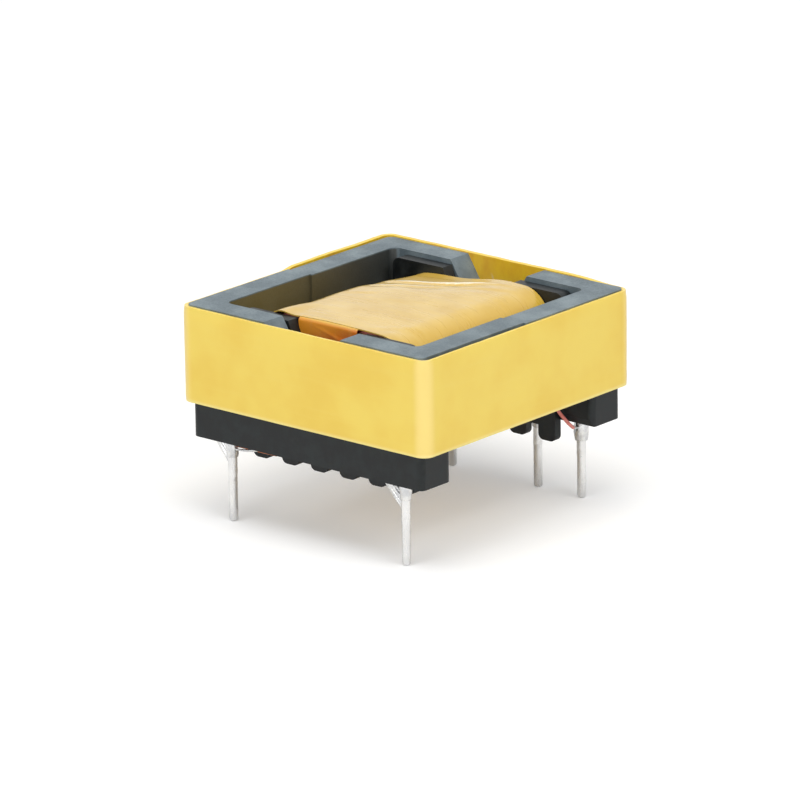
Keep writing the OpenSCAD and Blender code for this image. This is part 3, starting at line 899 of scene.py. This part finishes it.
def collar(cx, cy, bulge, top, foot, seed):
    """Lumpy ring of solder round a pin, up to the radius bulge."""
    profile = [(COLLAR_CORE_R, foot)]
    for j in range(COLLAR_STEPS + 1):
        t = j / COLLAR_STEPS
        body = math.sin(math.pi * (0.12 + 0.80 * t)) ** 0.6
        profile.append((COLLAR_R + (bulge - COLLAR_R) * body, foot + (top - foot) * t))
    profile.append((COLLAR_CORE_R, top + 0.01))

    def bumps(a, z):
        spot = Vector((math.cos(a) * 1.6 + seed, math.sin(a) * 1.6, z * 1.4))
        return 0.05 * noise.noise(spot)

    return lathe(cx, cy, profile, 28, bumps)


def strand(a, b, radius, bow):
    """Thin wire from a to b, bent at its middle and thinner towards b."""
    middle = (Vector(a) + Vector(b)) / 2 + Vector(bow)
    return tube([a, middle, b], radius, 8, 5, lambda f: 1 - 0.35 * f)


def fan(cx, cy, end, foot, top, count, seed):
    """Strands that spread from the pin to the rail, with solder between them."""
    parts = []
    ex, ey = end[0] - cx, end[1] - cy
    for k in range(count):
        t = k / (count - 1)
        low = (cx + 0.12 * ex / abs(ex), cy, foot + 0.18 + 0.62 * (top - foot) * t)
        high = (cx + ex * (0.28 + 0.72 * (1 - t) ** 0.8), cy + ey * (1 - t), top - 0.06 - 0.16 * (1 - t))
        bow = (0.03 * math.sin(seed + 3 * k), 0.02 * math.cos(seed + 2 * k), -0.07 * (1 - t))
        parts.append(strand(high, low, FAN_STRAND_R, bow))
    web = []
    high_z = top - 0.05
    for i in range(FAN_STEPS + 1):
        t = i / FAN_STEPS
        x, y = cx + ex * t * 0.97, cy + ey * t
        low_z = foot + (top - 0.3 - foot) * t ** 0.85
        w = 0.06 + 0.03 * math.sin(seed + 7 * t)
        web += [(x, y - w, low_z), (x, y + w, low_z), (x, y + w * 0.8, high_z), (x, y - w * 0.8, high_z)]
    parts.append((web, rod_faces(FAN_STEPS + 1, 4)))
    return parts


def solder(place, foot, bulge, seed, web=None, wires=()):
    """Solder round a pin. web is how far its fan ends behind the pin's axis, and its number of strands."""
    node = "solder_" + place
    lo, hi = box_mm(node)
    cx, cy = axis_of("pin_" + place)
    parts = [collar(cx, cy, bulge, hi[2], foot, seed), *wires]
    if web:
        behind, count = web
        parts += fan(cx, cy, (lo[0] + 0.1, cy + behind), lo[2], hi[2], count, seed)
    piece = fused(node + "_flowed", parts, FLOW_VOXEL, 3)
    finish_piece(piece, SOLDER, [node], 80)


left_wire = strand((-pin_x + 2.1, -pin_y + 0.15, 1.0), (-pin_x + 0.2, -pin_y, 0.75), 0.11, (0, 0, -0.06))
back_wire = strand((pitch - 1.9, pin_y - 0.3, 0.95), (pitch - 0.2, pin_y - 0.05, 0.8), 0.12, (0, 0, -0.05))
solder("front_left", 0.2, 0.40, 1.0, (0.1, 5), [left_wire])
solder("front_right", 0.2, 0.40, 2.3, (0.4, 6))
solder("back_1", 0.0, 0.42, 3.1)
solder("back_2", 0.0, 0.42, 4.4)
solder("back_3", 0.0, 0.42, 5.2, None, [back_wire])
solder("back_4", -0.2, 0.52, 6.0)

bare = tube(strand_route, STRAND_R, 12, 8, lambda f: 1 - 0.25 * f)
new_piece("bare_strand", *bare, SOLDER, "solder", (), 60)


# ---------------------------------------------------------------- floor, light and camera

FLOOR_HALF = 3.0
FLOOR_GLOW = 0.24
AMBIENT = 0.42
LAMP_DISTANCE = 0.5
# Each lamp's azimuth, elevation, size in metres and watts
LAMPS = {
    "overhead": (20, 78, 0.35, 1.35),
    "key": (85, 35, 0.30, 0.62),
    "fill": (5, 25, 0.30, 0.50),
}


def stage_floor():
    """Pale floor under the pins, a little brighter to the camera so that it runs into the background."""
    mesh = bpy.data.meshes.new("floor")
    r, z = FLOOR_HALF, cad_box[0][2]
    mesh.from_pydata([(-r, -r, z), (r, -r, z), (r, r, z), (-r, r, z)], [], [[0, 1, 2, 3]])
    floor = bpy.data.objects.new("floor", mesh)
    bpy.context.scene.collection.objects.link(floor)
    m = bpy.data.materials.new("floor")
    m.use_nodes = True
    shader = m.node_tree.nodes["Principled BSDF"]
    shader.inputs["Base Color"].default_value = (0.86, 0.86, 0.86, 1)
    shader.inputs["Roughness"].default_value = 0.9
    shader.inputs["Specular IOR Level"].default_value = 0.1
    shader.inputs["Emission Color"].default_value = (1, 1, 1, 1)
    ray = m.node_tree.nodes.new("ShaderNodeLightPath")
    lift = m.node_tree.nodes.new("ShaderNodeMath")
    lift.operation = "MULTIPLY"
    m.node_tree.links.new(ray.outputs["Is Camera Ray"], lift.inputs[0])
    lift.inputs[1].default_value = FLOOR_GLOW
    m.node_tree.links.new(lift.outputs[0], shader.inputs["Emission Strength"])
    mesh.materials.append(m)


def white_world():
    """Soft light from all sides, and full white where the camera or a reflection sees it."""
    world = bpy.data.worlds.new("studio")
    bpy.context.scene.world = world
    world.use_nodes = True
    tree = world.node_tree
    ambient = tree.nodes["Background"]
    ambient.inputs["Color"].default_value = (1, 1, 1, 1)
    ambient.inputs["Strength"].default_value = AMBIENT
    seen = tree.nodes.new("ShaderNodeBackground")
    seen.inputs["Color"].default_value = (1, 1, 1, 1)
    seen.inputs["Strength"].default_value = 1.0
    path = tree.nodes.new("ShaderNodeLightPath")
    either = tree.nodes.new("ShaderNodeMath")
    either.operation = "MAXIMUM"
    tree.links.new(path.outputs["Is Camera Ray"], either.inputs[0])
    tree.links.new(path.outputs["Is Glossy Ray"], either.inputs[1])
    choose = tree.nodes.new("ShaderNodeMixShader")
    tree.links.new(either.outputs[0], choose.inputs[0])
    tree.links.new(ambient.outputs[0], choose.inputs[1])
    tree.links.new(seen.outputs[0], choose.inputs[2])
    tree.links.new(choose.outputs[0], tree.nodes["World Output"].inputs[0])


def towards(azimuth, elevation):
    """Direction from the part to a viewer, both angles in degrees; azimuth 0 is in front of it."""
    a, e = math.radians(azimuth), math.radians(elevation)
    return Vector((math.sin(a) * math.cos(e), -math.cos(a) * math.cos(e), math.sin(e)))


def softbox(name, azimuth, elevation, size, watts):
    back = towards(azimuth, elevation)
    middle = Vector((0, 0, (cad_box[0][2] + cad_box[1][2]) / 2))
    data = bpy.data.lights.new(name, "AREA")
    data.shape = "SQUARE"
    data.size = size
    data.energy = watts
    lamp = bpy.data.objects.new(name, data)
    lamp.location = middle + back * LAMP_DISTANCE
    lamp.rotation_mode = "QUATERNION"
    lamp.rotation_quaternion = (-back).to_track_quat("-Z", "Y")
    bpy.context.scene.collection.objects.link(lamp)


stage_floor()
white_world()
for lamp_name, setting in LAMPS.items():
    softbox(lamp_name, *setting)

# The view in degrees and millimetres. AIM is how far right of and above the core's top centre, as the
# camera sees it, the picture's middle lies.
AZIMUTH, ELEVATION, ROLL = 40.6158, 16.4903, -0.8168
DISTANCE = 500
AIM = (-0.36, -6.854)
LENS, SENSOR = 341.92, 36


def camera():
    back = towards(AZIMUTH, ELEVATION)
    right = towards(AZIMUTH + 90, 0)
    up = back.cross(right)
    r = math.radians(ROLL)
    x_axis = math.cos(r) * right + math.sin(r) * up
    y_axis = -math.sin(r) * right + math.cos(r) * up
    data = bpy.data.cameras.new("camera")
    data.sensor_width = SENSOR
    data.lens = LENS
    data.clip_start, data.clip_end = 0.01, 20
    cam = bpy.data.objects.new("camera", data)
    cam.location = (Vector((0, 0, core_top)) + back * DISTANCE) * MM
    ahead = (x_axis * AIM[0] + y_axis * AIM[1] - back * DISTANCE).normalized()
    side = ahead.cross(y_axis).normalized()
    top = side.cross(ahead)
    turn = Matrix((side, top, -ahead)).transposed()
    cam.rotation_mode = "QUATERNION"
    cam.rotation_quaternion = turn.to_quaternion()
    bpy.context.scene.collection.objects.link(cam)
    bpy.context.scene.camera = cam


camera()
bpy.context.scene.view_settings.view_transform = "Standard"
